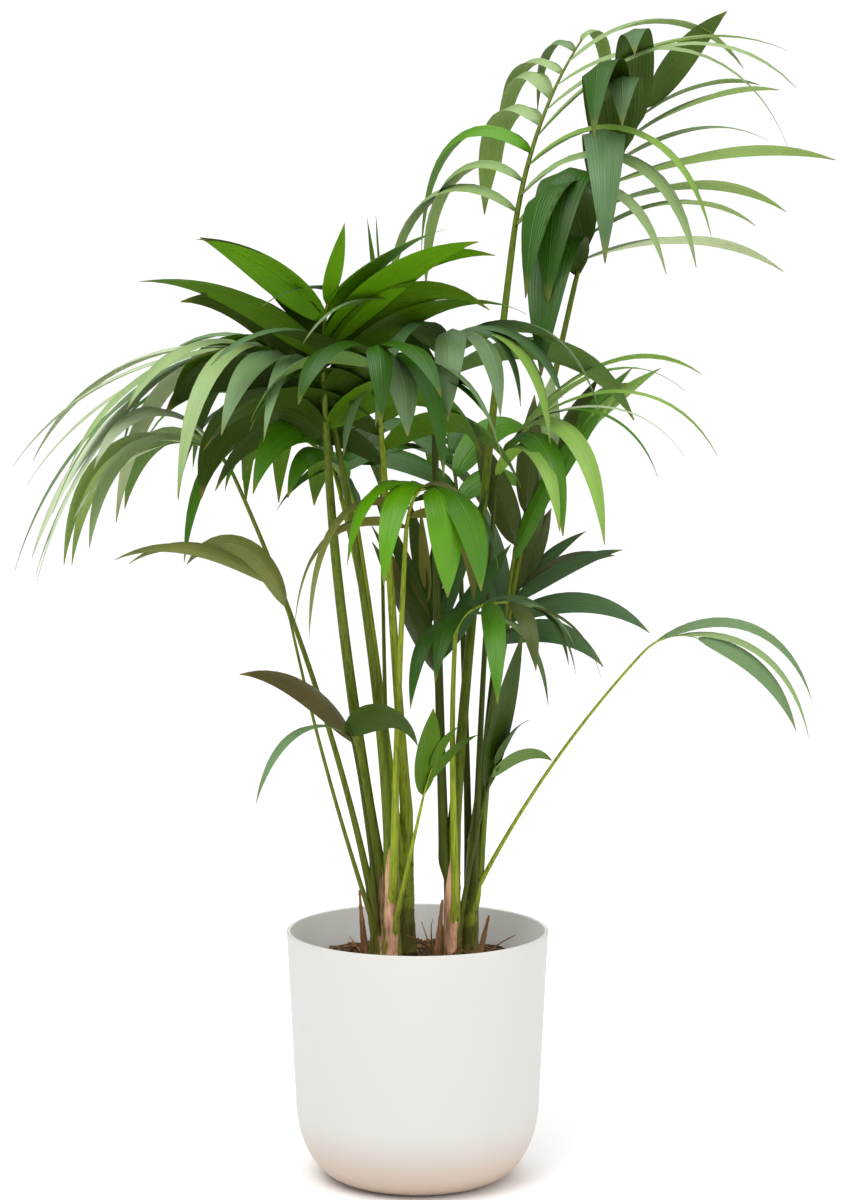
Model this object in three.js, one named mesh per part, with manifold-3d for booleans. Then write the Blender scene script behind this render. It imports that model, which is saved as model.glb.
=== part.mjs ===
// Potted kentia palm: five short stems in a round-bottomed pot, each with its own fronds.
// Millimetres, +Z up. The origin is the centre of the pot's flat underside.
import * as THREE from "three";
import { mergeVertices } from "three/addons/utils/BufferGeometryUtils.js";
import Module from "manifold-3d";

const wasm = await Module();
wasm.setup();

// Clearance between neighbouring solids, and the extra skin a leaflet needs free round it.
const GAP = 0.3;
const SKIN = 0.9;

// Pot: flat underside, rounded lower corner, then a slightly flared wall up to the rim.
const POT = {
  height: 250.5,
  rimRadius: 130.5,
  wall: 3.5,
  footRadius: 72,
  cornerAcross: 50,
  cornerUp: 80,
  cornerSteps: 4,
  sides: 32,
};

// Soil: level under the stems, falling a little to the pot's wall.
const SOIL = { crown: 222, edge: 215, crownRadius: 84, shoulder: 219, shoulderRadius: 106 };

// Stems: foot centre, height above the soil, lean in degrees toward an azimuth.
const STEMS = {
  stem_left: { foot: [-38, 4], rise: 95, lean: 1, azimuth: 180 },
  stem_left_front: { foot: [-25, -15], rise: 122, lean: 1, azimuth: 190 },
  stem_left_back: { foot: [-11, 17], rise: 142, lean: 1, azimuth: 90 },
  stem_right_front: { foot: [34, -8], rise: 132, lean: 1, azimuth: 0 },
  stem_right_back: { foot: [51, 15], rise: 122, lean: 3, azimuth: 20 },
};
const STEM_SHAPE = { tip: 6, taper: 2.5, flare: 3.5, flareHeight: 10, sides: 8, steps: 5 };

// Dead leaf bases: foot centre, height, lean, azimuth, radius.
const STUBS = {
  dry_base_front: { foot: [18, -26], rise: 62, lean: 7, azimuth: 20, radius: 4.2 },
  dry_base_right: { foot: [62, -10], rise: 44, lean: 12, azimuth: 340, radius: 3.6 },
  dry_base_left: { foot: [-52, -12], rise: 70, lean: 5, azimuth: 200, radius: 4 },
};

// What a frond is unless its own entry says otherwise. Angles are in degrees from vertical for
// lean, neck and tip. A pair of numbers runs from the lowest leaflets to the last ones. Level is
// how far leaflets turn their upper faces to the sky, from 0 to 1, and stray is how much they
// differ by chance. Left and right, as seen looking out along the frond, hold what differs for the
// leaflets of one side, and end what differs for the last leaflet.
const USUAL = {
  turn: 0,
  bend: 1,
  roll: 0,
  taper: 0.35,
  level: 0.8,
  stray: 1,
  lift: [8, 8],
  left: {},
  right: {},
  end: null,
};

// Fronds in order of right of way: a leaflet keeps clear of everything named above it.
const FRONDS = {
  main_left: {
    stem: "stem_left", fork: 95, azimuth: 203, turn: 78, lean: 9.5, neck: 12.5, tip: 46,
    petiole: 420, blade: 165, thick: 6.6, stray: 1.4, level: 0.5,
    pairs: 7, leaf: 200, width: 36, spread: [46, 50], lift: [0, 24], droop: [3.4, 0.1], taper: 0.1,
    right: { roll: -14, level: 0.2, width: 46, droop: [3.5, 0.2], taper: 0.2, leaf: 186 },
    left: { leaf: 210, width: 42, spread: [40, 46], lift: [0, 18], droop: [2.6, 0.4], taper: 0.2 },
    end: { leaf: 165, width: 20, droop: [0.1, 0.1] },
  },
  crest_left: {
    stem: "stem_left_front", fork: 122, azimuth: 192, lean: 4, neck: 12, tip: 134, bend: 0.6,
    petiole: 447, blade: 200, thick: 5.4, stray: 1.4,
    pairs: 8, leaf: 225, width: 24, spread: [54, 14], lift: [4, 0], droop: [3, 0.9],
    level: 0.5, taper: -0.25,
    right: { leaf: 245 },
  },
  tall_front: {
    stem: "stem_right_front", fork: 132, azimuth: 50, lean: 7, neck: 11, tip: 46,
    petiole: 584, blade: 240, thick: 5.4, stray: 1.5,
    pairs: 7, leaf: 310, width: 28,
    left: { spread: [66, 42], lift: [26, 10], droop: [4.6, 5], leaf: 205, width: 46, taper: 0.45 },
    right: { spread: [52, 36], lift: [10, 0], droop: [3.4, 1.2], taper: 0.2 },
  },
  tall_back: {
    stem: "stem_right_back", fork: 122, azimuth: 30, lean: 9, neck: 15, tip: 36,
    petiole: 555, blade: 205, thick: 4.8,
    pairs: 7, leaf: 300, width: 28,
    left: { roll: -80, spread: [54, 30], lift: [0, 0], droop: [0.9, 0.6] },
    right: { roll: -60, spread: [60, 44], lift: [0, 0], droop: [3.7, 4.2], leaf: 270, width: 46 },
    end: { roll: -80, level: 0, leaf: 170, width: 52, droop: [0.5, 0.5], taper: 0 },
  },
  arch_left: {
    stem: "stem_left", fork: 70, around: 165, azimuth: 184, lean: 12, neck: 24, tip: 108,
    petiole: 434, blade: 80, thick: 3.8, stray: 1.3, level: 0.3, roll: 8,
    pairs: 3, leaf: 230, width: 24, spread: [40, 10], lift: [0, 0], droop: [3.8, 2],
  },
  low_left: {
    stem: "stem_left", fork: 42, around: 205, azimuth: 186, lean: 18, neck: 12, tip: 58,
    petiole: 304, blade: 70, thick: 2.6, level: 0, roll: -62,
    pairs: 1, leaf: 160, width: 15, taper: 0, spread: [14, 8], lift: [0, 0], droop: [1.9, 1.5],
    right: { spread: [2, 2], droop: [2.4, 2.4], leaf: 145, width: 27 },
  },
  reach_right: {
    stem: "stem_right_back", fork: 70, around: 330, azimuth: 355, lean: 27, neck: 42, tip: 110,
    petiole: 288, blade: 60, thick: 2.4, level: 0, roll: 62,
    pairs: 1, leaf: 200, width: 13, taper: 0, spread: [6, 4], lift: [0, 0], droop: [3.6, 1.8],
    left: { width: 9, droop: [3, 3], leaf: 190 },
    end: { width: 25, droop: [2.2, 2.2], leaf: 172 },
  },
  centre_right: {
    stem: "stem_right_front", fork: 102, around: 190, azimuth: 190, turn: 110, lean: 2, neck: 3,
    tip: 95, petiole: 455, blade: 110, thick: 5.2, stray: 1.8, level: 0.6,
    pairs: 5, leaf: 210, width: 32, spread: [50, 30], lift: [0, 10], droop: [3, 3],
  },
  centre_front: {
    stem: "stem_left_front", fork: 82, azimuth: 290, lean: 3, neck: 9, tip: 100,
    petiole: 345, blade: 95, thick: 3.8, stray: 1.6, level: 0.6,
    pairs: 4, leaf: 120, width: 34, spread: [60, 26], lift: [0, 10], droop: [3.8, 5], taper: -0.4,
    right: { leaf: 185, width: 34, spread: [66, 34], droop: [3, 5], taper: 0.35 },
    end: { leaf: 175, width: 42, droop: [6, 6], taper: 0 },
  },
  right_up: {
    stem: "stem_right_back", fork: 92, around: 335, azimuth: 12, lean: 4, neck: 8, tip: 46,
    petiole: 290, blade: 180, thick: 3.6, level: 0.1, roll: 60,
    pairs: 5, leaf: 160, width: 20, spread: [12, 8], lift: [0, 0], droop: [0.2, 0.5],
    left: { width: 32, leaf: 125, spread: [34, 6] },
  },
  right_arch: {
    stem: "stem_right_back", fork: 84, around: 285, azimuth: 325, lean: 2, neck: 5, tip: 85,
    petiole: 385, blade: 120, thick: 3.6, stray: 1.3,
    pairs: 4, leaf: 240, width: 18,
    left: { spread: [34, 10], droop: [1.4, 2.2] },
    right: { roll: 56, spread: [30, 26], droop: [3, 2.2], leaf: 205, width: 28 },
  },
  lower_front: {
    stem: "stem_right_front", fork: 62, around: 290, azimuth: 215, turn: 125, lean: 2, neck: 6,
    tip: 104, bend: 0.5, petiole: 268, blade: 105, thick: 3.6, stray: 1.5,
    pairs: 4, leaf: 145, width: 26, spread: [70, 24], lift: [0, 0], droop: [3, 2.2],
    end: { leaf: 200, width: 22, droop: [2, 2] },
  },
  lower_right: {
    stem: "stem_right_back", fork: 60, around: 65, azimuth: 50, turn: -30, lean: 4, neck: 8,
    tip: 50, petiole: 245, blade: 90, thick: 3, stray: 1.6, roll: 30, level: 0.3,
    pairs: 4, leaf: 160, width: 28, spread: [40, 24], lift: [12, 12], droop: [0.5, 0.5],
    right: { spread: [66, 20], droop: [1.6, 0.5], width: 26, leaf: 155 },
  },
  inner_left: {
    stem: "stem_left_back", fork: 102, around: 225, azimuth: 172, lean: 6, neck: 9, tip: 70,
    petiole: 342, blade: 110, thick: 4.2, stray: 2, level: 0.4,
    pairs: 4, leaf: 165, width: 34, spread: [46, 24], lift: [8, 8], droop: [2.2, 2.6],
  },
  centre_back: {
    stem: "stem_left_back", fork: 142, azimuth: 230, turn: 44, lean: 6, neck: 11, tip: 84,
    petiole: 340, blade: 205, thick: 5.2, stray: 2, level: 0.3,
    pairs: 6, leaf: 205, width: 36, spread: [36, 30], lift: [0, 10], droop: [1.6, 3.4],
  },
  spear: {
    stem: "stem_left_front", fork: 70, around: 95, azimuth: 112, lean: 5, neck: 1, tip: 1,
    petiole: 500, blade: 110, thick: 2.4,
    pairs: 1, leaf: 110, width: 12, spread: [4, 3], lift: [4, 4], droop: [0.1, 0.1],
  },
  under_left: {
    stem: "stem_left", fork: 34, around: 262, azimuth: 230, lean: 6, neck: 16, tip: 70,
    petiole: 185, blade: 24, thick: 2.4, level: 0.3,
    pairs: 1, leaf: 140, width: 32, taper: 0.4, spread: [60, 60], lift: [6, 6], droop: [1.6, 1.6],
    left: { roll: 46, level: 0, spread: [76, 76], droop: [2.6, 2.6], leaf: 122, width: 42, lift: [0, 0] },
    right: { spread: [28, 28], droop: [1.7, 1.7], width: 40, leaf: 132 },
    end: { leaf: 190, width: 16, droop: [2, 2], taper: 0 },
  },
  small_inner: {
    stem: "stem_left_front", fork: 42, around: 300, azimuth: 318, lean: 16, neck: 16, tip: 24,
    petiole: 124, blade: 40, thick: 2.4, level: 0,
    pairs: 1, leaf: 110, width: 32, taper: 0, spread: [10, 10], lift: [0, 0], droop: [0.3, 0.3],
    left: { spread: [34, 34], width: 22, leaf: 70, droop: [1, 1] },
  },
  small_right: {
    stem: "stem_right_front", fork: 42, around: 345, azimuth: 322, lean: 11, neck: 16, tip: 24,
    petiole: 124, blade: 40, thick: 2.4, level: 0,
    pairs: 1, leaf: 175, width: 42, taper: 0, spread: [6, 6], lift: [0, 0], droop: [0.2, 0.2],
    left: { spread: [44, 44], width: 28, leaf: 80, droop: [1.2, 1.2] },
  },
  back_left: {
    stem: "stem_left_back", fork: 92, around: 150, azimuth: 140, lean: 6, neck: 18, tip: 90,
    petiole: 380, blade: 150, thick: 4, stray: 1.5,
    pairs: 4, leaf: 240, width: 32, spread: [64, 18], lift: [10, 10], droop: [3.4, 3.4],
  },
  back_right: {
    stem: "stem_right_back", fork: 82, around: 115, azimuth: 100, lean: 5, neck: 14, tip: 76,
    petiole: 360, blade: 130, thick: 3.8, stray: 1.5, level: 0.3,
    pairs: 4, leaf: 210, width: 30, spread: [60, 20], lift: [6, 6], droop: [2.8, 2.8],
    right: { leaf: 150, droop: [3.8, 3], width: 36, spread: [46, 20] },
  },
  back_low: {
    stem: "stem_right_front", fork: 52, around: 120, azimuth: 160, lean: 2, neck: 4, tip: 12,
    petiole: 225, blade: 90, thick: 3.2, stray: 1.2, level: 0, roll: 75,
    pairs: 4, leaf: 160, width: 24, spread: [34, 10], lift: [0, 0], droop: [0.2, 0.2],
    right: { width: 20, spread: [24, 8] },
  },
};

// How every petiole and rib thins out, as shares of the frond's thick radius.
const PETIOLE = { foot: 1, neck: 0.6, clasp: 0.4, sides: 6, steps: 6 };
const RIB = { foot: 0.58, tip: 0.32, least: 1.3, sides: 3, steps: 5 };
const LEAFLET = { sides: 3, steps: 4, thin: 0.0125, least: 2.2, root: 0.02, reach: 0.97 };

// Colours of the materials.
const LOOKS = {
  pot: { color: "#e7e2dc", roughness: 0.45 },
  soil: { color: "#3a2a20", roughness: 0.95 },
  stem: { color: "#6d7c38", roughness: 0.7 },
  dryBase: { color: "#8a6a4a", roughness: 0.9 },
  petiole: { color: "#7f8f45", roughness: 0.55 },
  leaf: { color: "#3f6b2c", roughness: 0.5 },
};

const radians = THREE.MathUtils.degToRad;
const mix = THREE.MathUtils.lerp;

// A repeatable number from -1 to 1 for a set of keys.
function wobble(frond, leaflet, use) {
  const wave = Math.sin((frond + leaflet * 17.31 + use * 5.77) * 12.9898) * 43758.5453;
  return (wave - Math.floor(wave)) * 2 - 1;
}

// Solid of a closed three.js geometry.
function solidOf(geometry) {
  const bare = geometry.clone();
  bare.deleteAttribute("normal");
  bare.deleteAttribute("uv");
  const merged = mergeVertices(bare, 1e-3);
  const vertProperties = new Float32Array(merged.attributes.position.array);
  const triVerts = new Uint32Array(merged.index.array);
  return new wasm.Manifold(new wasm.Mesh({ numProp: 3, vertProperties, triVerts }));
}

// The outer body of a solid, with sealed hollows filled and loose scraps dropped.
function outerBody(solid) {
  const bodies = solid.decompose();
  return bodies.reduce((best, body) => (body.volume() > best.volume() ? body : best));
}

function meshOf(name, solid, look) {
  const { vertProperties, triVerts } = solid.getMesh();
  const geometry = new THREE.BufferGeometry();
  geometry.setAttribute("position", new THREE.BufferAttribute(vertProperties, 3));
  geometry.setIndex(new THREE.BufferAttribute(triVerts, 1));
  geometry.computeVertexNormals();
  const material = new THREE.MeshStandardMaterial({ ...look, metalness: 0 });
  const mesh = new THREE.Mesh(geometry, material);
  mesh.name = name;
  return mesh;
}

// Bends a unit cylinder or cone, standing on Y, so that it follows a rail. rail(u) gives the
// place and the two half-sizes, as vectors, of the section at u from 0 to 1.
function bend(geometry, rail) {
  const spot = geometry.attributes.position;
  const point = new THREE.Vector3();
  for (let i = 0; i < spot.count; i++) {
    point.fromBufferAttribute(spot, i);
    const u = point.y + 0.5;
    const size = Math.hypot(point.x, point.z) || 1;
    const { centre, across, over } = rail(u);
    const out = centre.clone();
    if (Math.hypot(point.x, point.z) > 1e-6) {
      out.addScaledVector(across, point.x / size).addScaledVector(over, point.z / size);
    }
    spot.setXYZ(i, out.x, out.y, out.z);
  }
  return geometry;
}

// A profile in radius and height, turned about Z.
function turned(profile) {
  const points = profile.map(([radius, height]) => new THREE.Vector2(radius, height));
  return new THREE.LatheGeometry(points, POT.sides).rotateX(Math.PI / 2);
}

// Rounded corner of the pot, shrunk inwards by an inset.
function corner(inset) {
  const points = [];
  for (let k = 0; k <= POT.cornerSteps; k++) {
    const angle = (k / POT.cornerSteps) * (Math.PI / 2);
    points.push([
      POT.footRadius + (POT.cornerAcross - inset) * Math.sin(angle),
      inset + (POT.cornerUp - inset) * (1 - Math.cos(angle)),
    ]);
  }
  return points;
}

// Inner radius of the pot's straight wall at a height.
function wallRadius(height, inset) {
  const foot = POT.footRadius + POT.cornerAcross;
  const share = (height - POT.cornerUp) / (POT.height - POT.cornerUp);
  return mix(foot, POT.rimRadius, share) - inset;
}

function potSolid() {
  const edge = POT.wall / 3;
  return solidOf(turned([
    [0, 0],
    ...corner(0),
    [POT.rimRadius, POT.height - edge],
    [POT.rimRadius - edge, POT.height],
    [POT.rimRadius - POT.wall + edge, POT.height],
    [POT.rimRadius - POT.wall, POT.height - edge],
    ...corner(POT.wall).reverse(),
    [0, POT.wall],
  ]));
}

function soilSolid() {
  const inset = POT.wall + GAP * 1.5;
  return solidOf(turned([
    [0, inset],
    ...corner(inset),
    [wallRadius(SOIL.edge, inset), SOIL.edge],
    [SOIL.shoulderRadius, SOIL.shoulder],
    [SOIL.crownRadius, SOIL.crown],
    [0, SOIL.crown],
  ]));
}

// Radius of a stem at a height above the soil.
function stemRadius(stem, height) {
  const taper = STEM_SHAPE.taper * (1 - height / stem.rise);
  return STEM_SHAPE.tip + taper + STEM_SHAPE.flare * Math.exp(-height / STEM_SHAPE.flareHeight);
}

// Centre of a stem at a height above the soil.
function stemCentre(stem, height) {
  const out = Math.tan(radians(stem.lean)) * height;
  const azimuth = radians(stem.azimuth);
  return new THREE.Vector3(
    stem.foot[0] + out * Math.cos(azimuth),
    stem.foot[1] + out * Math.sin(azimuth),
    SOIL.crown + GAP + height,
  );
}

// A standing tapered limb with level sections, so that its foot is a flat cut.
function standing(limb, radiusAt, sides, steps) {
  const shape = new THREE.CylinderGeometry(1, 1, 1, sides, steps);
  return solidOf(bend(shape, (u) => {
    const radius = radiusAt(u * u * limb.rise);
    return {
      centre: stemCentre(limb, u * u * limb.rise),
      across: new THREE.Vector3(radius, 0, 0),
      over: new THREE.Vector3(0, -radius, 0),
    };
  }));
}

function stemSolid(stem, skin = 0) {
  const radiusAt = (height) => stemRadius(stem, height) + skin;
  return standing(stem, radiusAt, STEM_SHAPE.sides, STEM_SHAPE.steps);
}

function stubSolid(stub) {
  const radiusAt = (height) => stub.radius * (1 - 0.75 * (height / stub.rise));
  return standing(stub, radiusAt, PETIOLE.sides, 3);
}

// Directions at a lean from vertical and an azimuth: along the limb, to its side and its upper face.
function heading(lean, azimuth) {
  const [sl, cl, sa, ca] = [Math.sin(lean), Math.cos(lean), Math.sin(azimuth), Math.cos(azimuth)];
  return {
    along: new THREE.Vector3(sl * ca, sl * sa, cl),
    side: new THREE.Vector3(-sa, ca, 0),
    up: new THREE.Vector3(-cl * ca, -cl * sa, sl),
  };
}

// The line of a frond from its fork to its rib's end, as rows of a place and its directions.
const SPINE_STEPS = 64;

function spineOf(frond) {
  const stem = STEMS[frond.stem];
  const length = frond.petiole + frond.blade;
  const share = frond.petiole / length;
  const headingAt = (s) => {
    const lean = s < share
      ? mix(frond.lean, frond.neck, s / share)
      : mix(frond.neck, frond.tip, ((s - share) / (1 - share)) ** frond.bend);
    return heading(radians(lean), radians(frond.azimuth + frond.turn * s));
  };
  const leads = frond.fork >= stem.rise;
  const place = stemCentre(stem, frond.fork);
  if (leads) place.z += GAP + frond.thick * Math.sin(radians(frond.lean));
  else {
    const around = radians(frond.around ?? frond.azimuth);
    const out = stemRadius(stem, frond.fork) + frond.thick * PETIOLE.clasp;
    place.add(new THREE.Vector3(Math.cos(around), Math.sin(around), 0).multiplyScalar(out));
  }
  const rows = [];
  for (let k = 0; k <= SPINE_STEPS; k++) {
    rows.push({ place: place.clone(), ...headingAt(k / SPINE_STEPS) });
    const step = headingAt(Math.min((k + 0.5) / SPINE_STEPS, 1)).along;
    place.addScaledVector(step, length / SPINE_STEPS);
  }
  return { rows, share, length };
}

// Row of a spine at a share s of its length.
function rowAt(rows, s) {
  const x = Math.min(s, 1) * SPINE_STEPS;
  const i = Math.min(Math.floor(x), SPINE_STEPS - 1);
  const row = {};
  for (const key of ["place", "along", "side", "up"]) {
    row[key] = rows[i][key].clone().lerp(rows[i + 1][key], x - i);
  }
  return row;
}

// A round limb along a spine from one share to another, with a radius that runs evenly.
function limbSolid(spine, from, to, radiusFrom, radiusTo, sides, steps) {
  const shape = new THREE.CylinderGeometry(1, 1, 1, sides, steps);
  return solidOf(bend(shape, (u) => {
    const { place, side, up } = rowAt(spine.rows, mix(from, to, u));
    const radius = mix(radiusFrom, radiusTo, u);
    return {
      centre: place,
      across: side.normalize().multiplyScalar(radius),
      over: up.normalize().multiplyScalar(-radius),
    };
  }));
}

// A petiole is sunk a little into its stem and cut back to clasp it, clear by the gap.
function petioleSolid(frond, spine) {
  const { foot, neck, sides, steps } = PETIOLE;
  const [low, high] = [frond.thick * foot, frond.thick * neck];
  const limb = limbSolid(spine, 0, spine.share, low, high, sides, steps);
  return outerBody(limb.subtract(stemSolid(STEMS[frond.stem], GAP)));
}

function ribSolid(frond, spine) {
  const from = spine.share + GAP / spine.length;
  const foot = Math.max(frond.thick * RIB.foot, RIB.least);
  const tip = Math.max(frond.thick * RIB.tip, RIB.least);
  return limbSolid(spine, from, 1, foot, tip, RIB.sides, RIB.steps);
}

// Half-width of a leaflet along its length, as a share of its greatest half-width.
function outline(u) {
  return Math.max(2.72 * (u + 0.008) ** 0.62 * (1 - u), 0.03);
}

// Where a leaflet starts, how it heads out and how far it bends down. The last one ends the rib.
function leafletPlan(whole, spine, number, index) {
  const last = index === 2 * whole.pairs;
  const sign = last || index % 2 ? 1 : -1;
  const own = (last && whole.end) || (sign > 0 ? whole.left : whole.right);
  const frond = { ...whole, ...own };
  const t = last ? 1 : (Math.floor(index / 2) + 0.35 + 0.5 * (index % 2)) / (frond.pairs + 0.35);
  const s = mix(spine.share, 1, LEAFLET.root + LEAFLET.reach * t);
  const { place, along, side, up } = rowAt(spine.rows, s);
  const chance = (use) => frond.stray * wobble(number, index, use);
  const pair = ([low, high]) => mix(low, high, t);
  const roll = radians(frond.roll);
  const flank = side.clone().multiplyScalar(Math.cos(roll)).addScaledVector(up, Math.sin(roll));
  const crown = up.clone().multiplyScalar(Math.cos(roll)).addScaledVector(side, -Math.sin(roll));
  const length = frond.leaf * (0.8 + 0.2 * Math.sin(Math.PI * Math.min(t + 0.1, 1)))
    * (1 - frond.taper * t ** 3) * (1 + 0.1 * chance(3));
  return {
    place, along, flank, crown, sign, length,
    level: frond.level,
    spread: last ? 3 : pair(frond.spread) + 7 * chance(1),
    lift: pair(frond.lift) + 9 * chance(2),
    droop: pair(frond.droop) * (1 + 0.3 * chance(4)),
    width: frond.width * (1 - 0.25 * t * t) * (1 + 0.12 * chance(5)),
  };
}

// A keeled, pointed blade that leaves the rib at its spread and lift, and bends down by its droop.
function leafletSolid(plan, nudge, skin) {
  const spread = radians(plan.spread);
  const lift = radians(plan.lift + nudge);
  const { along, flank, crown, sign, length } = plan;
  const out = flank.clone().multiplyScalar(Math.cos(lift) * sign)
    .addScaledVector(crown, Math.sin(lift));
  const ahead = along.clone().multiplyScalar(Math.cos(spread))
    .addScaledVector(out, Math.sin(spread)).normalize();
  const across = along.clone().multiplyScalar(Math.sin(spread))
    .addScaledVector(flank, -sign * Math.cos(spread));
  across.addScaledVector(ahead, -across.dot(ahead)).normalize();
  const flat = new THREE.Vector3(ahead.y, -ahead.x, 0).normalize();
  across.lerp(flat.multiplyScalar(flat.dot(across) < 0 ? -1 : 1), plan.level);
  const centre = plan.place.clone();
  const thick = Math.max(length * LEAFLET.thin, LEAFLET.least);
  const sections = [];
  for (let k = 0; k <= LEAFLET.steps; k++) {
    const u = k / LEAFLET.steps;
    across.addScaledVector(ahead, -across.dot(ahead)).normalize();
    const over = across.clone().cross(ahead);
    const turn = over.z < 0 ? -1 : 1;
    const halfWidth = (outline(u) * plan.width) / 2 + skin;
    sections.push({
      centre: centre.clone().addScaledVector(ahead, k === LEAFLET.steps ? skin : 0),
      across: across.clone().multiplyScalar((turn * halfWidth) / Math.sin(Math.PI / 3)),
      over: over.multiplyScalar((turn * (thick + 2 * skin) * 2) / 3),
    });
    const inner = 4;
    for (let step = 0; step < inner; step++) {
      const v = (k + step / inner) / LEAFLET.steps;
      centre.addScaledVector(ahead, length / LEAFLET.steps / inner);
      ahead.z -= (plan.droop * (0.5 + v)) / LEAFLET.steps / inner;
      ahead.normalize();
    }
  }
  const shape = new THREE.ConeGeometry(1, 1, LEAFLET.sides, LEAFLET.steps);
  return solidOf(bend(shape, (u) => sections[Math.round(u * LEAFLET.steps)]));
}

const boxOf = (solid) => {
  const { min, max } = solid.boundingBox();
  return new THREE.Box3(new THREE.Vector3(...min), new THREE.Vector3(...max));
};

const touches = (a, b) => a.box.intersectsBox(b.box) && a.solid.intersect(b.solid).volume() > 0;

const boxed = (solid) => ({ solid, box: boxOf(solid) });

const palm = new THREE.Group();
const taken = [];

// Adds a piece to the plant and to what later leaflets keep clear of.
function place(name, solid, look) {
  palm.add(meshOf(name, solid, look));
  taken.push(boxed(solid));
}

place("pot", potSolid(), LOOKS.pot);
place("soil", soilSolid(), LOOKS.soil);
for (const [name, stem] of Object.entries(STEMS)) place(name, stemSolid(stem), LOOKS.stem);
for (const [name, stub] of Object.entries(STUBS)) place(name, stubSolid(stub), LOOKS.dryBase);

const fronds = Object.entries(FRONDS).map(([name, own], index) => {
  const frond = { ...USUAL, ...own };
  return { name, frond, number: index + 1, spine: spineOf(frond) };
});
for (const { name, frond, spine } of fronds) {
  place(`${name}_petiole`, petioleSolid(frond, spine), LOOKS.petiole);
}
const ribs = fronds.map(({ frond, spine }) => boxed(ribSolid(frond, spine)));

// A leaflet that would touch another piece is lifted or lowered a little, or else left off.
const NUDGES = [0, 8, -8, 16, -16, 24, -24];

function freeLeaflet(plan, others) {
  for (const nudge of NUDGES) {
    const guard = boxed(leafletSolid(plan, nudge, SKIN));
    if (!others.some((other) => touches(guard, other))) return leafletSolid(plan, nudge, 0);
  }
  return null;
}

fronds.forEach(({ name, frond, number, spine }, turn) => {
  const others = [...taken, ...ribs.filter((_, i) => i !== turn)];
  const parts = [ribs[turn].solid];
  for (let index = 0; index <= 2 * frond.pairs; index++) {
    const leaflet = freeLeaflet(leafletPlan(frond, spine, number, index), others);
    if (leaflet) parts.push(leaflet);
  }
  place(`${name}_blade`, outerBody(wasm.Manifold.union(parts)), LOOKS.leaf);
});

export default palm;
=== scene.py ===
# A potted kentia palm: the finish of the pot, soil, stems and fronds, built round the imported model.
# Metres, +Z up, with the origin at the centre of the pot's flat underside.
import math

import bmesh
import bpy
import numpy as np
from mathutils import Euler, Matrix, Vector, noise


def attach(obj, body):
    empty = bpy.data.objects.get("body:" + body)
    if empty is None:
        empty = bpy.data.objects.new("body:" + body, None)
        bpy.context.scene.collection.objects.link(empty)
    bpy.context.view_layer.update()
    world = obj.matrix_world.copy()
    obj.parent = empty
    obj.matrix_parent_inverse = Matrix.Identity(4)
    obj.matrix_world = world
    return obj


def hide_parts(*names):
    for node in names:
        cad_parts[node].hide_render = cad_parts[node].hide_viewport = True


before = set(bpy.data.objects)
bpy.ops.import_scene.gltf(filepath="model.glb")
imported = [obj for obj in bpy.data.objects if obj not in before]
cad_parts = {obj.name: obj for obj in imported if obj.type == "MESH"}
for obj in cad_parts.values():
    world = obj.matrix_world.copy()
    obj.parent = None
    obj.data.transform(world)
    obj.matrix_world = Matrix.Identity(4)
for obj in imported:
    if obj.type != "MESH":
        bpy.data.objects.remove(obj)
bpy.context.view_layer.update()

# The studio: a wide pale floor that the pot stands on, soft light from all round and overhead, a
# large soft light above to the left and a weaker one to the right. The camera stands three
# metres off at the height of the crown and looks slightly down.
CAMERA_PLACE = (0.0035, -3.0, 0.876)
CAMERA_PITCH = 5.63
CAMERA_LENS = 91.5
KEY_LIGHT = dict(place=(-1.0, -1.5, 3.0), target=(0, 0, 0.7), size=2.0, power=56)
FILL_LIGHT = dict(place=(2.2, -1.8, 1.4), target=(0, 0, 0.6), size=1.8, power=17)
SUN_POWER = 1.7
SUN_WIDTH = 80
SKY_LIGHT = 0.62
SKY_SHEEN = 0.15
SKY_SEEN = 1.05
FLOOR_RADIUS = 60.0
FLOOR_SIDES = 96
FLOOR_COLOUR = (0.95, 0.948, 0.945, 1)
FLOOR_SHADE = (0.93, 0.925, 0.92, 1)

eye = bpy.data.cameras.new("eye")
eye.lens = CAMERA_LENS
camera = bpy.data.objects.new("eye", eye)
camera.location = CAMERA_PLACE
camera.rotation_euler = (math.radians(90 - CAMERA_PITCH), 0, 0)
bpy.context.scene.collection.objects.link(camera)
bpy.context.scene.camera = camera
bpy.context.scene.view_settings.view_transform = "Standard"


def soft_light(name, place, target, size, power):
    lamp = bpy.data.lights.new(name, "AREA")
    lamp.size = size
    lamp.energy = power
    light = bpy.data.objects.new(name, lamp)
    light.location = place
    aim = Vector(target) - Vector(place)
    light.rotation_euler = aim.to_track_quat("-Z", "Y").to_euler()
    bpy.context.scene.collection.objects.link(light)


soft_light("key", **KEY_LIGHT)
soft_light("fill", **FILL_LIGHT)
overhead = bpy.data.lights.new("overhead", "SUN")
overhead.energy = SUN_POWER
overhead.angle = math.radians(SUN_WIDTH)
bpy.context.scene.collection.objects.link(bpy.data.objects.new("overhead", overhead))

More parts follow.
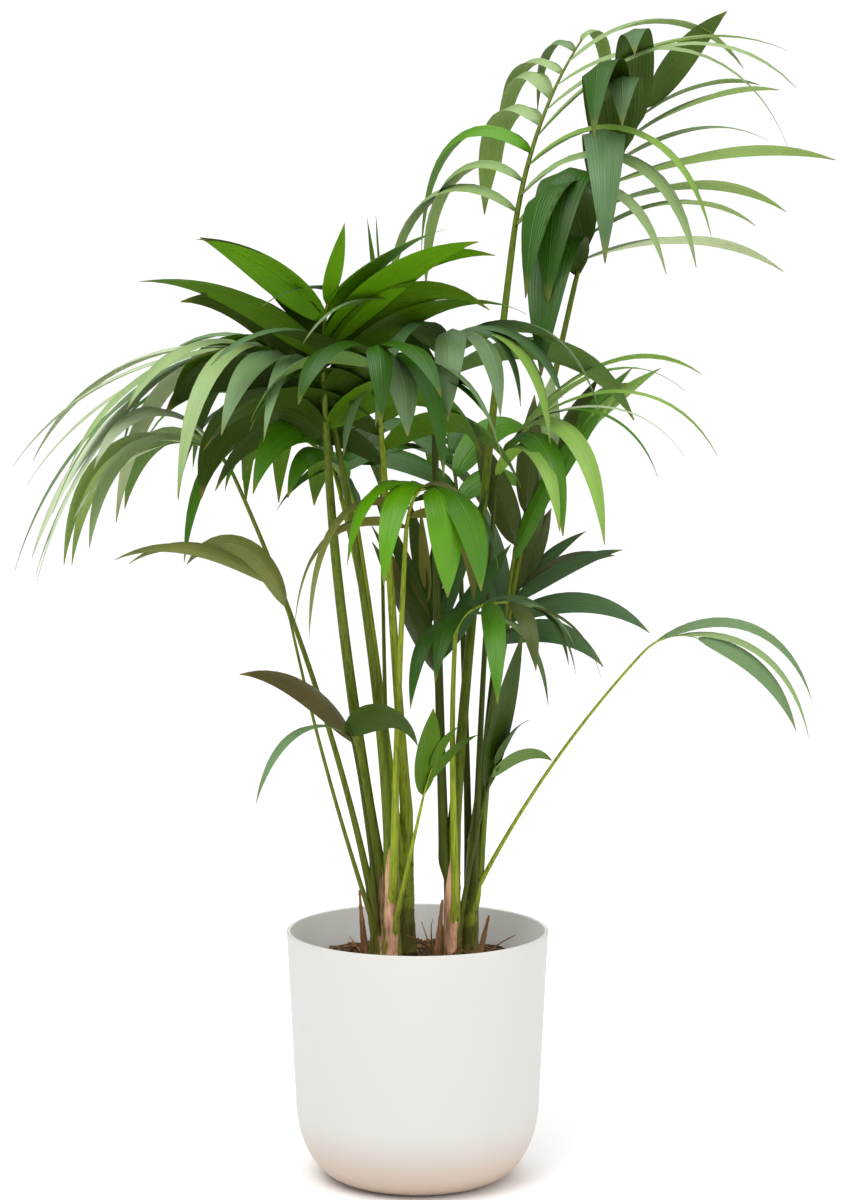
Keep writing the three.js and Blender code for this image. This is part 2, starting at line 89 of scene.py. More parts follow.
sky = bpy.data.worlds.new("sky")
sky.use_nodes = True
sky_nodes = sky.node_tree.nodes
sky_nodes["Background"].inputs["Color"].default_value = (1, 1, 1, 1)
sky_path = sky_nodes.new("ShaderNodeLightPath")
sky_lit = sky_nodes.new("ShaderNodeMapRange")
sky_lit.inputs["To Min"].default_value = SKY_LIGHT
sky_lit.inputs["To Max"].default_value = SKY_SHEEN
sky_shown = sky_nodes.new("ShaderNodeMapRange")
sky_shown.inputs["To Max"].default_value = SKY_SEEN
for source, target in (
    (sky_path.outputs["Is Glossy Ray"], sky_lit.inputs["Value"]),
    (sky_path.outputs["Is Camera Ray"], sky_shown.inputs["Value"]),
    (sky_lit.outputs[0], sky_shown.inputs["To Min"]),
    (sky_shown.outputs[0], sky_nodes["Background"].inputs["Strength"]),
):
    sky.node_tree.links.new(source, target)
bpy.context.scene.world = sky


class Wire:
    """A socket in a material, so that shader maths is written as plain sums."""

    def __init__(self, finish, socket):
        self.finish = finish
        self.socket = socket

    def maths(self, operation, *values):
        inputs = dict(enumerate(values))
        return self.finish.node("ShaderNodeMath", {"operation": operation}, inputs)

    def __add__(self, other):
        return self.maths("ADD", self, other)

    def __radd__(self, other):
        return self.maths("ADD", other, self)

    def __sub__(self, other):
        return self.maths("SUBTRACT", self, other)

    def __rsub__(self, other):
        return self.maths("SUBTRACT", other, self)

    def __mul__(self, other):
        return self.maths("MULTIPLY", self, other)

    def __rmul__(self, other):
        return self.maths("MULTIPLY", other, self)

    def __abs__(self):
        return self.maths("ABSOLUTE", self)

    def sine(self):
        return self.maths("SINE", self)


class Finish:
    """A material, with the constant values of its surface set on the shader itself."""

    def __init__(self, name, **constants):
        self.material = bpy.data.materials.new(name)
        self.material.use_nodes = True
        self.nodes = self.material.node_tree.nodes
        self.links = self.material.node_tree.links
        self.shader = self.nodes["Principled BSDF"]
        for key, value in constants.items():
            self.shader.inputs[key.replace("_", " ")].default_value = value

    def node(self, kind, settings, inputs, output=0):
        """Any node, from its type, its settings and the values or wires of its sockets."""
        made = self.nodes.new(kind)
        for key, value in settings.items():
            setattr(made, key, value)
        for key, value in inputs.items():
            if isinstance(value, Wire):
                self.links.new(value.socket, made.inputs[key])
            else:
                made.inputs[key].default_value = value
        return Wire(self, made.outputs[output])

    def place(self, stretch=(1, 1, 1)):
        where = self.node("ShaderNodeTexCoord", {}, {}, "Object")
        return self.node("ShaderNodeMapping", {}, {"Vector": where, "Scale": stretch})

    def height(self):
        return self.node("ShaderNodeSeparateXYZ", {}, {0: self.place()}, 2)

    def lie(self):
        """A leaflet's own map: how far across it and how far along it, each from 0 to 1."""
        where = self.node("ShaderNodeUVMap", {"uv_map": "lie"}, {})
        return [self.node("ShaderNodeSeparateXYZ", {}, {0: where}, part) for part in (0, 1)]

    def grain(self, place, scale, detail=3.0, rough=0.55):
        inputs = {"Vector": place, "Scale": scale, "Detail": detail, "Roughness": rough}
        return self.node("ShaderNodeTexNoise", {}, inputs)

    def step(self, value, low, high):
        inputs = {"Value": value, "From Min": low, "From Max": high}
        return self.node("ShaderNodeMapRange", {"interpolation_type": "SMOOTHSTEP"}, inputs)

    def mix(self, factor, first, second):
        inputs = {0: factor, 6: first, 7: second}
        return self.node("ShaderNodeMix", {"data_type": "RGBA"}, inputs, 2)

    def bump(self, height, strength, distance):
        inputs = {"Strength": strength, "Distance": distance, "Height": height}
        return self.node("ShaderNodeBump", {}, inputs)

    def feed(self, **wires):
        for key, wire in wires.items():
            self.links.new(wire.socket, self.shader.inputs[key.replace("_", " ")])
        return self.material


def piece(name, mesh, *materials):
    """A piece of the scene from its mesh and its finishes."""
    made = bpy.data.objects.new(name, mesh)
    for material in materials:
        mesh.materials.append(material)
    bpy.context.scene.collection.objects.link(made)
    return made


def from_bmesh(name, bm, *materials):
    """A smooth piece from a modelled bmesh, with its faces turned outwards."""
    bmesh.ops.recalc_face_normals(bm, faces=bm.faces)
    mesh = bpy.data.meshes.new(name)
    bm.to_mesh(mesh)
    bm.free()
    mesh.shade_smooth()
    return piece(name, mesh, *materials)


floor_finish = Finish("floor_paint", Roughness=0.9)
floor_grain = floor_finish.grain(floor_finish.place(), 6.0)
floor_tone = floor_finish.mix(floor_grain * 0.1, FLOOR_COLOUR, FLOOR_SHADE)
disc = bmesh.new()
bmesh.ops.create_circle(disc, cap_ends=True, segments=FLOOR_SIDES, radius=FLOOR_RADIUS)
floor = from_bmesh("floor", disc, floor_finish.feed(Base_Color=floor_tone))

# The pot: one injection-moulded shell of off-white plastic with a satin skin. It has a flat foot,
# a deep rounded corner, a wall that flares a little, and a thin rolled rim. It stands free on the
# ring under its foot, and its lower part is painted darker and warmer: a painted warm shade.
POT_HEIGHT = 0.2505
POT_RIM = 0.1305
POT_WALL = 0.0035
POT_FOOT = 0.072
FOOT_RING = 0.004
FOOT_RECESS = 0.0012
RECESS_EDGE = 0.002
CORNER_ACROSS = 0.05
CORNER_UP = 0.08
# Painted shade: below this height the pot's colour turns darker and warmer, reaching the full painted
# shade near the foot.
PAINTED_SHADE_FROM = 0.075
PAINTED_SHADE_FULL = 0.004
POT_SIDES = 144
CORNER_STEPS = 20
WALL_STEPS = 6
RIM_STEPS = 8
LINING_STEPS = 12
POT_CREAM = (0.60, 0.585, 0.56, 1)
POT_PAINTED_WARM_SHADE = (0.53, 0.375, 0.27, 1)
POT_CLOUD = (0.7, 0.66, 0.6, 1)
# Painted light: the lining is painted far lighter than the pot's own cream, standing in for light
# inside the pot.
LINING_PAINTED_LIGHT = (0.97, 0.97, 0.95, 1)
LINING_CLOUD_PAINTED_LIGHT = (0.92, 0.92, 0.89, 1)


def mix(low, high, share):
    return low + (high - low) * share


def pot_corner(inset, steps):
    """The rounded corner from the foot to the wall, or the lining's, a wall's thickness in."""
    for k in range(steps + 1):
        angle = k / steps * math.pi / 2
        radius = POT_FOOT + (CORNER_ACROSS - inset) * math.sin(angle)
        yield radius, inset + (CORNER_UP - inset) * (1 - math.cos(angle))


def spun(profile, sides):
    """A profile in radius and height, turned round the pot's axis."""
    bm = bmesh.new()
    points = [bm.verts.new((radius, 0, height)) for radius, height in profile]
    for low, high in zip(points, points[1:]):
        bm.edges.new((low, high))
    bmesh.ops.spin(
        bm, geom=bm.verts[:] + bm.edges[:], cent=(0, 0, 0), axis=(0, 0, 1),
        angle=2 * math.pi, steps=sides, use_merge=True,
    )
    bmesh.ops.remove_doubles(bm, verts=bm.verts, dist=1e-6)
    return bm


def pot_profile():
    """Radius and height from under the foot, up the wall, over the rim and down the lining."""
    rim = POT_WALL / 2
    yield 0, FOOT_RECESS
    yield POT_FOOT - FOOT_RING - RECESS_EDGE, FOOT_RECESS
    yield POT_FOOT - FOOT_RING, 0
    yield from pot_corner(0, CORNER_STEPS)
    for k in range(1, WALL_STEPS):
        up = k / WALL_STEPS
        yield mix(POT_FOOT + CORNER_ACROSS, POT_RIM, up), mix(CORNER_UP, POT_HEIGHT - rim, up)
    for k in range(RIM_STEPS + 1):
        angle = k / RIM_STEPS * math.pi
        yield POT_RIM - rim + rim * math.cos(angle), POT_HEIGHT - rim + rim * math.sin(angle)
    yield from reversed(list(pot_corner(POT_WALL, LINING_STEPS)))
    yield 0, POT_WALL


shell = Finish("satin_plastic", Roughness=0.42, Specular_IOR_Level=0.45)
# Painted shade: the pot's lower part is painted darker and warmer, standing in for the shade that
# lies there.
painted_shade_share = 1 - shell.step(shell.height(), PAINTED_SHADE_FULL, PAINTED_SHADE_FROM)
shell_cloud = shell.grain(shell.place(), 5.0)
shell_skin = shell.grain(shell.place(), 900.0, 1.0)
shell_tone = shell.mix(painted_shade_share * 0.8, POT_CREAM, POT_PAINTED_WARM_SHADE)
shell_tone = shell.mix(shell_cloud * 0.06, shell_tone, POT_CLOUD)
shell.feed(
    Base_Color=shell_tone,
    Roughness=0.38 + shell_cloud * 0.1,
    Normal=shell.bump(shell_skin, 0.08, 0.0004),
)
# Painted light: the inside of the pot gets its own lighter colour, making up for the shade that falls
# there.
lining = Finish("satin_lining_painted_light", Roughness=0.5, Specular_IOR_Level=0.45)
lining_cloud = lining.grain(lining.place(), 8.0)
lining.feed(Base_Color=lining.mix(lining_cloud * 0.2, LINING_PAINTED_LIGHT, LINING_CLOUD_PAINTED_LIGHT))
pot = from_bmesh("planter", spun(pot_profile(), POT_SIDES), shell.material, lining.material)
for face in pot.data.polygons:
    if face.normal.xy.dot(face.center.xy) < 0:
        face.material_index = 1
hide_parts("pot")
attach(pot, "root")

# The soil: dark peat and bark, pressed round the stems and a little lower at the wall, with loose
# crumbs and bark chips on top. Only its upper layer shows, so the piece is three centimetres deep.
SOIL_CROWN = 0.222
SOIL_EDGE = 0.215
SOIL_RADIUS = 0.1225
SOIL_DEPTH = 0.03
SOIL_LUMP = 0.0032
SOIL_RINGS = 46
PEAT = (0.045, 0.027, 0.011, 1)
BARK = (0.15, 0.082, 0.032, 1)
CHIPS = 900
CHIP_LEAST = 0.0011
CHIP_MORE = 0.0024
CHIP_TONES = {
    "dark_bark": (0.07, 0.040, 0.015, 1),
    "red_bark": (0.18, 0.085, 0.030, 1),
    "pale_bark": (0.27, 0.155, 0.070, 1),
}


def soil_height(x, y):
    """Height of the soil's surface over a place in the pot."""
    out = math.hypot(x, y) / SOIL_RADIUS
    level = SOIL_CROWN + (SOIL_EDGE - SOIL_CROWN) * max(0.0, (out - 0.6) / 0.4) ** 1.5
    lump = noise.fractal(Vector((x, y, 0.3)) * 55, 0.9, 2.1, 4)
    return level - SOIL_LUMP * 0.7 + SOIL_LUMP * lump * (1 - 0.5 * out)


def soil_profile():
    for k in range(SOIL_RINGS + 1):
        yield SOIL_RADIUS * k / SOIL_RINGS, SOIL_CROWN
    yield SOIL_RADIUS, SOIL_EDGE - SOIL_DEPTH
    yield 0, SOIL_EDGE - SOIL_DEPTH


soil_mesh = spun(soil_profile(), POT_SIDES)
for vert in soil_mesh.verts:
    if vert.co.z > SOIL_CROWN - 0.001:
        vert.co.z = soil_height(vert.co.x, vert.co.y)
peat = Finish("peat", Roughness=0.95, Specular_IOR_Level=0.2)
peat_lumps = peat.grain(peat.place(), 260.0, 5.0, 0.7)
peat_tone = peat.mix(peat.step(peat_lumps, 0.45, 0.75), PEAT, BARK)
soil = from_bmesh("soil_bed", soil_mesh, peat.feed(
    Base_Color=peat_tone, Normal=peat.bump(peat_lumps, 0.7, 0.002),
))
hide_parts("soil")
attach(soil, "root")


def wobble(*keys):
    """A repeatable number from -1 to 1 for a set of up to three keys."""
    wave = sum(key * weight for key, weight in zip(keys, (1.0, 17.31, 5.77)))
    wave = math.sin(wave * 12.9898) * 43758.5453
    return (wave - math.floor(wave)) * 2 - 1


def crumb_field():
    """Chips scattered over the soil, each a squashed and dented ball, joined in one mesh."""
    seed = bmesh.new()
    bmesh.ops.create_icosphere(seed, subdivisions=1, radius=1)
    ball = np.array([vert.co for vert in seed.verts])
    faces = np.array([[vert.index for vert in face.verts] for face in seed.faces])
    seed.free()
    points, corners, tones = [], [], []
    half_tones = len(CHIP_TONES) / 2
    for k in range(CHIPS):
        out = SOIL_RADIUS * 0.97 * math.sqrt(0.5 + 0.5 * wobble(k, 1))
        turn = math.pi * wobble(k, 2)
        x, y = out * math.cos(turn), out * math.sin(turn)
        size = CHIP_LEAST + CHIP_MORE * (0.5 + 0.5 * wobble(k, 3)) ** 3
        flat = np.array([1.5 + 0.9 * wobble(k, 4), 0.9, 0.55]) * size
        dents = np.array([1 + 0.28 * wobble(k, j, 5) for j in range(len(ball))])[:, None]
        tilt = Euler((0.7 * wobble(k, 6), 0.7 * wobble(k, 7), 3.1 * wobble(k, 8))).to_matrix()
        place = np.array([x, y, soil_height(x, y) + size * 0.25])
        points.append((ball * dents * flat) @ np.array(tilt).T + place)
        corners.append(faces + k * len(ball))
        tone = int(half_tones + half_tones * wobble(k, 9)) % len(CHIP_TONES)
        tones += [tone] * len(faces)
    mesh = bpy.data.meshes.new("bark_crumbs")
    mesh.from_pydata(np.concatenate(points).tolist(), [], np.concatenate(corners).tolist())
    mesh.polygons.foreach_set("material_index", tones)
    mesh.update()
    return mesh


def crumb_finish(name, colour):
    finish = Finish(name, Roughness=0.9, Specular_IOR_Level=0.25)
    fleck = finish.grain(finish.place(), 400.0)
    tone = finish.mix(fleck * 0.5, colour, PEAT)
    return finish.feed(Base_Color=tone, Normal=finish.bump(fleck, 0.4, 0.0008))


chip_skins = [crumb_finish(name, colour) for name, colour in CHIP_TONES.items()]
crumbs = piece("bark_crumbs", crumb_field(), *chip_skins)
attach(crumbs, "root")

# The stems: five short fibrous stems, each the foot of one young plant of the clump, ringed by
# the scars of old leaves, and beside them three dry bases of old leaves. They are rooted in the
# soil, and stand just clear of it here, as the solids do.
GAP = 0.0003
STEM_TIP = 0.006
STEM_TAPER = 0.0025
STEM_FLARE = 0.0035
FLARE_HEIGHT = 0.010
STEM_SIDES = 20
STEM_STEPS = 46
STUB_TAPER = 0.75
STUB_SIDES = 14
STUB_STEPS = 20
STUB_KEY = 9
SCAR_DEPTH = 0.0006
SCAR_WAVE = 420
FIBRE_DEPTH = 0.0012
GREEN_FROM = 0.25
GREEN_FULL = 0.36
STALK_STREAK = (0.014, 0.024, 0.001, 1)
STEMS = {
    "stem_left": dict(foot=(-0.038, 0.004), rise=0.095, lean=1, azimuth=180),
    "stem_left_front": dict(foot=(-0.025, -0.015), rise=0.122, lean=1, azimuth=190),
    "stem_left_back": dict(foot=(-0.011, 0.017), rise=0.142, lean=1, azimuth=90),
    "stem_right_front": dict(foot=(0.034, -0.008), rise=0.132, lean=1, azimuth=0),
    "stem_right_back": dict(foot=(0.051, 0.015), rise=0.122, lean=3, azimuth=20),
}
STUBS = {
    "dry_base_front": dict(foot=(0.018, -0.026), rise=0.062, lean=7, azimuth=20, radius=0.0042),
    "dry_base_right": dict(foot=(0.062, -0.010), rise=0.044, lean=12, azimuth=340, radius=0.0036),
    "dry_base_left": dict(foot=(-0.052, -0.012), rise=0.070, lean=5, azimuth=200, radius=0.004),
}


def stem_radius(stem, height):
    taper = STEM_TAPER * (1 - height / stem["rise"])
    return STEM_TIP + taper + STEM_FLARE * math.exp(-height / FLARE_HEIGHT)


def stub_radius(stub, height):
    return stub["radius"] * (1 - STUB_TAPER * height / stub["rise"])


def stem_centre(stem, height):
    """The middle of a stem at a height over the soil."""
    out = math.tan(math.radians(stem["lean"])) * height
    azimuth = math.radians(stem["azimuth"])
    x = stem["foot"][0] + out * math.cos(azimuth)
    y = stem["foot"][1] + out * math.sin(azimuth)
    return np.array([x, y, SOIL_CROWN + GAP + height])


def grown(rings):
    """A closed skin: each ring is extruded from the last and moved to its own places."""
    bm = bmesh.new()
    sides = len(rings[0])
    first = bmesh.ops.create_circle(bm, segments=sides, radius=1)["verts"]
    for vert, spot in zip(first, rings[0]):
        vert.co = spot
    edges = bm.edges[:]
    bmesh.ops.contextual_create(bm, geom=edges)
    ring = list(first)
    for spots in rings[1:]:
        made = bmesh.ops.extrude_edge_only(bm, edges=edges)["geom"]
        fresh = [item for item in made if isinstance(item, bmesh.types.BMVert)]
        partner = {}
        for vert in fresh:
            for edge in vert.link_edges:
                other = edge.other_vert(vert)
                if other in ring:
                    partner[other] = vert
        ring = [partner[vert] for vert in ring]
        for vert, spot in zip(ring, spots):
            vert.co = spot
        edges = [bm.edges.get((a, b)) for a, b in zip(ring, ring[1:] + ring[:1])]
    bmesh.ops.contextual_create(bm, geom=edges)
    return bm


def stem_rings(stem, radius_at, sides, steps, key):
    """Rings up a stem, swollen at its leaf scars and rough with fibres."""
    rings = []
    for k in range(steps + 1):
        height = stem["rise"] * k / steps
        centre = stem_centre(stem, height)
        scar = SCAR_DEPTH * max(0.0, math.sin(height * SCAR_WAVE + key)) ** 6
        ring = []
        for j in range(sides):
            turn = -2 * math.pi * j / sides
            spot = Vector((math.cos(turn) * 5, math.sin(turn) * 5, height * 25 + key))
            radius = radius_at(stem, height) + scar + FIBRE_DEPTH * noise.noise(spot)
            ring.append(centre + np.array([radius * math.cos(turn), radius * math.sin(turn), 0]))
        rings.append(ring)
    return rings


def stalk_finish(name, foot, green):
    """A waxy skin, yellower at the foot and green higher up, with fine streaks along it."""
    finish = Finish(name, Roughness=0.45, Specular_IOR_Level=0.2)
    streaks = finish.grain(finish.place((1, 1, 0.06)), 600.0)
    blotch = finish.grain(finish.place((1, 1, 0.3)), 60.0)
    rise = finish.step(finish.height() + blotch * 0.06, GREEN_FROM, GREEN_FULL)
    tone = finish.mix(rise, foot, green)
    darker = finish.mix(0.8, tone, STALK_STREAK)
    return finish.feed(
        Base_Color=finish.mix(finish.step(streaks, 0.4, 0.7) * 0.6 + 0.15 * blotch, tone, darker),
        Roughness=0.4 + 0.2 * blotch,
        Normal=finish.bump(streaks, 0.25, 0.0006),
    )


def fibre_finish(name, pale, dark):
    """A dry, dull skin with coarse streaks and patches."""
    finish = Finish(name, Roughness=0.8, Specular_IOR_Level=0.25)
    streaks = finish.grain(finish.place((1, 1, 0.09)), 520.0, 4.0, 0.65)
    patches = finish.grain(finish.place((1, 1, 0.5)), 70.0)
    shade = finish.step(streaks, 0.35, 0.7) * 0.55 + finish.step(patches, 0.4, 0.65) * 0.45
    return finish.feed(
        Base_Color=finish.mix(shade, pale, dark),
        Roughness=0.7 + 0.2 * streaks,
        Normal=finish.bump(streaks, 0.5, 0.0012),
    )


stem_skin = stalk_finish("stem_skin", (0.17, 0.15, 0.035, 1), (0.21, 0.24, 0.016, 1))
dry_skin = fibre_finish("dry_leaf_base", (0.27, 0.13, 0.055, 1), (0.09, 0.04, 0.016, 1))
for key, (name, stem) in enumerate(STEMS.items()):
    rings = stem_rings(stem, stem_radius, STEM_SIDES, STEM_STEPS, key)
    trunk = from_bmesh(name + "_bark", grown(rings), stem_skin)
    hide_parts(name)
    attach(trunk, "root")
for key, (name, stub) in enumerate(STUBS.items()):
    rings = stem_rings(stub, stub_radius, STUB_SIDES, STUB_STEPS, key + STUB_KEY)
    husk = from_bmesh(name + "_husk", grown(rings), dry_skin)
    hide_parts(name)
    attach(husk, "root")

# Dry sheaths: papery tan remains of the first leaves, each a curved scale that still hugs its
# stem, split to a point at the top and lifting a little at its edges. Torn fibres of older ones
# stand loose in the soil beside the stems.
PAPERS = (
    dict(stem="stem_left_front", around=268, low=-0.004, high=0.116, half=44),
    dict(stem="stem_left", around=296, low=-0.004, high=0.092, half=34),
    dict(stem="stem_right_front", around=258, low=-0.004, high=0.112, half=46),
    dict(stem="stem_right_back", around=285, low=0.070, high=0.100, half=36),
)
PAPER_STEPS = 26
PAPER_ACROSS = 7
PAPER_OFF = 0.0016
PAPER_CURL = 0.0012
PAPER_CRINKLE = 0.0004
PAPER_THICK = 0.0005
STRAND_SPOTS = 9 * ((0.019, -0.026),) + 6 * ((0.060, -0.014),) + 4 * ((-0.046, -0.022),)
STRAND_STRAY = (0.010, 0.007)
STRAND_SUNK = 0.002
STRAND_LENGTH = 0.036
STRAND_MORE = 0.018
STRAND_THICK = 0.0015
STRAND_STEPS = 8
STRAND_SIDES = 6


def paper_rings(paper, key):
    """Rings up a sheath, each round the outside of the scale and back along its inside."""
    stem = STEMS[paper["stem"]]
    rings = []
    for k in range(PAPER_STEPS + 1):
        u = k / PAPER_STEPS
        height = mix(paper["low"], paper["high"], u)
        half = math.radians(paper["half"]) * max(math.sin(math.pi * (0.12 + 0.88 * u)) ** 0.8, 0.04)
        half *= 1 + 0.15 * noise.noise(Vector((u * 9, key, 0)))
        sway = math.radians(paper["around"] + 12 * noise.noise(Vector((u * 3, key, 5))))
        outer, inner = [], []
        for j in range(PAPER_ACROSS):
            v = 2 * j / (PAPER_ACROSS - 1) - 1
            turn = sway - half * v
            crinkle = PAPER_CRINKLE * noise.noise(Vector((v * 4, u * 14, key)))
            radius = stem_radius(stem, max(height, 0)) + PAPER_OFF + PAPER_CURL * v ** 4 * u + crinkle
            way = np.array([math.cos(turn), math.sin(turn), 0])
            outer.append(stem_centre(stem, height) + way * radius)
            inner.append(stem_centre(stem, height) + way * (radius - PAPER_THICK))
        rings.append(outer + inner[::-1])
    return rings


def unit(vector):
    return vector / np.linalg.norm(vector)


def heading(lean, azimuth):
    """Directions of a limb: along it, to its side and out of its upper face."""
    out, rise = math.sin(lean), math.cos(lean)
    x, y = math.cos(azimuth), math.sin(azimuth)
    return np.array([[out * x, out * y, rise], [-y, x, 0], [-rise * x, -rise * y, out]])


def strand_rings(key, spot):
    """A torn fibre of an old sheath that stands up out of the soil and curls over."""
    x = spot[0] + STRAND_STRAY[0] * wobble(key, 11)
    y = spot[1] + STRAND_STRAY[1] * wobble(key, 12)
    place = np.array([x, y, soil_height(x, y) - STRAND_SUNK])
    length = STRAND_LENGTH + STRAND_MORE * wobble(key, 15)
    rings = []
    for k in range(STRAND_STEPS + 1):
        u = k / STRAND_STEPS
        lean = 0.65 + 0.45 * wobble(key, 13) + 1.1 * u * wobble(key, 16)
        turn = math.pi * wobble(key, 14) + 1.5 * u * wobble(key, 17)
        along, side, up = heading(lean, turn)
        radius = STRAND_THICK * (1 - 0.75 * u) * (1 + 0.3 * wobble(key, k, 18))
        angles = [2 * math.pi * j / STRAND_SIDES for j in range(STRAND_SIDES)]
        rings.append([place + (side * math.cos(a) + up * math.sin(a)) * radius for a in angles])
        place = place + along * length / STRAND_STEPS
    return rings


strands = bmesh.new()
for key, spot in enumerate(STRAND_SPOTS):
    strand = grown(strand_rings(key, spot))
    single = bpy.data.meshes.new("strand")
    strand.to_mesh(single)
    strand.free()
    strands.from_mesh(single)
    bpy.data.meshes.remove(single)
fibres = from_bmesh("sheath_fibres", strands, dry_skin)
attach(fibres, "root")

paper_skin = fibre_finish("papery_sheath", (0.78, 0.46, 0.30, 1), (0.24, 0.11, 0.05, 1))
for key, paper in enumerate(PAPERS):
    scale = from_bmesh(f"dry_sheath_{key + 1}", grown(paper_rings(paper, key)), paper_skin)
    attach(scale, "root")

# The fronds: each is a smooth stalk that leans out of its stem, runs on as the rib, and carries
# soft pointed leaflets on both sides. Its foot clasps its stem, or stands on the stem's top.

# A frond's foot is fork metres up its stem, on the side called around. The frond leans by lean
# degrees there, by neck where its leaflets start and by tip at its end, sooner where bend is
# small. It leans towards azimuth, which changes by turn on the way. A leaflet is leaf long and
# width wide, and less by taper and by slim at the frond's end. It spreads from the rib, lifts off
# the rib's plane, which has a roll, droops to its tip, and lies as flat as level says. stray is
# how much leaflets differ. A pair of numbers runs from the lowest leaflets to the last, and left,
# right and end hold what differs there.
USUAL = dict(
    turn=0, bend=1, roll=0, taper=0.35, level=0.8, stray=1, lift=(8, 8), around=None, slim=0.25,
    left={}, right={}, end=None,
)
FRONDS = {}
FRONDS["main_left"] = dict(
    stem="stem_left", fork=0.095, azimuth=203, turn=78, lean=9.5, neck=12.5, tip=46,
    petiole=0.42, blade=0.165, thick=0.0066, stray=1.4, level=0.5, pairs=7, leaf=0.2,
    width=0.036, spread=(46, 50), lift=(0, 24), droop=(3.4, 0.1), taper=0.1,
    right=dict(roll=-14, level=0.2, width=0.054, droop=(3.5, 0.2), taper=0.2, leaf=0.186),
    left=dict(leaf=0.21, width=0.048, spread=(40, 46), lift=(0, 18), droop=(2.6, 0.4), taper=0.2),
    end=dict(leaf=0.165, width=0.022, droop=(0.1, 0.1)),
)
FRONDS["crest_left"] = dict(
    stem="stem_left_front", fork=0.122, azimuth=192, lean=4, neck=12, tip=134, bend=0.6,
    petiole=0.447, blade=0.2, thick=0.0054, stray=1.4, pairs=8, leaf=0.225, width=0.024,
    spread=(54, 14), lift=(4, 0), droop=(3, 0.9), level=0.5, taper=-0.25, right=dict(leaf=0.245),
)
FRONDS["tall_front"] = dict(
    stem="stem_right_front", fork=0.132, azimuth=50, lean=7, neck=11, tip=46, petiole=0.584,
    blade=0.24, thick=0.0054, stray=1.5, pairs=7, leaf=0.31, width=0.028,
    left=dict(
        spread=(66, 42), lift=(26, 10), droop=(4.6, 5), leaf=0.205, width=0.046, taper=0.45,
        slim=0.6,
    ),
    right=dict(spread=(52, 36), lift=(10, 0), droop=(3.4, 1.2), taper=0.2),
)
FRONDS["tall_back"] = dict(
    stem="stem_right_back", fork=0.122, azimuth=30, lean=9, neck=15, tip=36, petiole=0.555,
    blade=0.205, thick=0.0048, pairs=7, leaf=0.3, width=0.028,
    left=dict(roll=-80, spread=(54, 30), lift=(0, 0), droop=(0.9, 0.6)),
    right=dict(roll=-60, spread=(60, 44), lift=(0, 0), droop=(3.7, 4.2), leaf=0.27, width=0.052),
    end=dict(roll=-80, level=0, leaf=0.17, width=0.044, droop=(0.5, 0.5), taper=0),
)
FRONDS["arch_left"] = dict(
    stem="stem_left", fork=0.07, around=165, azimuth=184, lean=12, neck=24, tip=108,
    petiole=0.434, blade=0.08, thick=0.0038, stray=1.3, level=0.3, roll=8, pairs=3, leaf=0.23,
    width=0.024, spread=(40, 10), lift=(0, 0), droop=(3.8, 2),
)
FRONDS["low_left"] = dict(
    stem="stem_left", fork=0.042, around=205, azimuth=186, lean=18, neck=12, tip=58,
    petiole=0.304, blade=0.07, thick=0.0026, level=0, roll=-62, pairs=1, leaf=0.16, width=0.015,
    taper=0, spread=(14, 8), lift=(0, 0), droop=(1.9, 1.5),
    right=dict(spread=(2, 2), droop=(2.4, 2.4), leaf=0.145, width=0.027),
)
FRONDS["reach_right"] = dict(
    stem="stem_right_back", fork=0.07, around=330, azimuth=355, lean=27, neck=42, tip=110,
    petiole=0.288, blade=0.06, thick=0.0024, level=0, roll=62, pairs=1, leaf=0.2, width=0.013,
    taper=0, spread=(6, 4), lift=(0, 0), droop=(3.6, 1.8),
    left=dict(width=0.009, droop=(3, 3), leaf=0.19),
    end=dict(width=0.025, droop=(2.2, 2.2), leaf=0.172),
)
FRONDS["centre_right"] = dict(
    stem="stem_right_front", fork=0.102, around=190, azimuth=190, turn=110, lean=2, neck=3,
    tip=95, petiole=0.455, blade=0.11, thick=0.0052, stray=1.8, level=0.6, pairs=5, leaf=0.21,
    width=0.036, spread=(50, 30), lift=(0, 10), droop=(3, 3),
)
FRONDS["centre_front"] = dict(
    stem="stem_left_front", fork=0.082, azimuth=290, lean=3, neck=9, tip=100, petiole=0.345,
    blade=0.095, thick=0.0038, stray=1.6, level=0.6, pairs=4, leaf=0.12, width=0.039,
    spread=(60, 26), lift=(0, 10), droop=(3.8, 5), taper=-0.4,
    right=dict(leaf=0.185, width=0.039, spread=(66, 34), droop=(3, 5), taper=0.35),
    end=dict(leaf=0.175, width=0.046, droop=(6, 6), taper=0),
)
FRONDS["right_up"] = dict(
    stem="stem_right_back", fork=0.092, around=335, azimuth=12, lean=4, neck=8, tip=46,
    petiole=0.29, blade=0.18, thick=0.0036, level=0.1, roll=60, pairs=5, leaf=0.16, width=0.02,
    spread=(12, 8), lift=(0, 0), droop=(0.2, 0.5),
    left=dict(width=0.032, leaf=0.125, spread=(34, 6)),
)
FRONDS["right_arch"] = dict(
    stem="stem_right_back", fork=0.084, around=285, azimuth=325, lean=2, neck=5, tip=85,
    petiole=0.385, blade=0.12, thick=0.0036, stray=1.3, pairs=4, leaf=0.24, width=0.018,
    left=dict(spread=(34, 10), droop=(1.4, 2.2)),
    right=dict(roll=56, spread=(30, 26), droop=(3, 2.2), leaf=0.205, width=0.028),
)
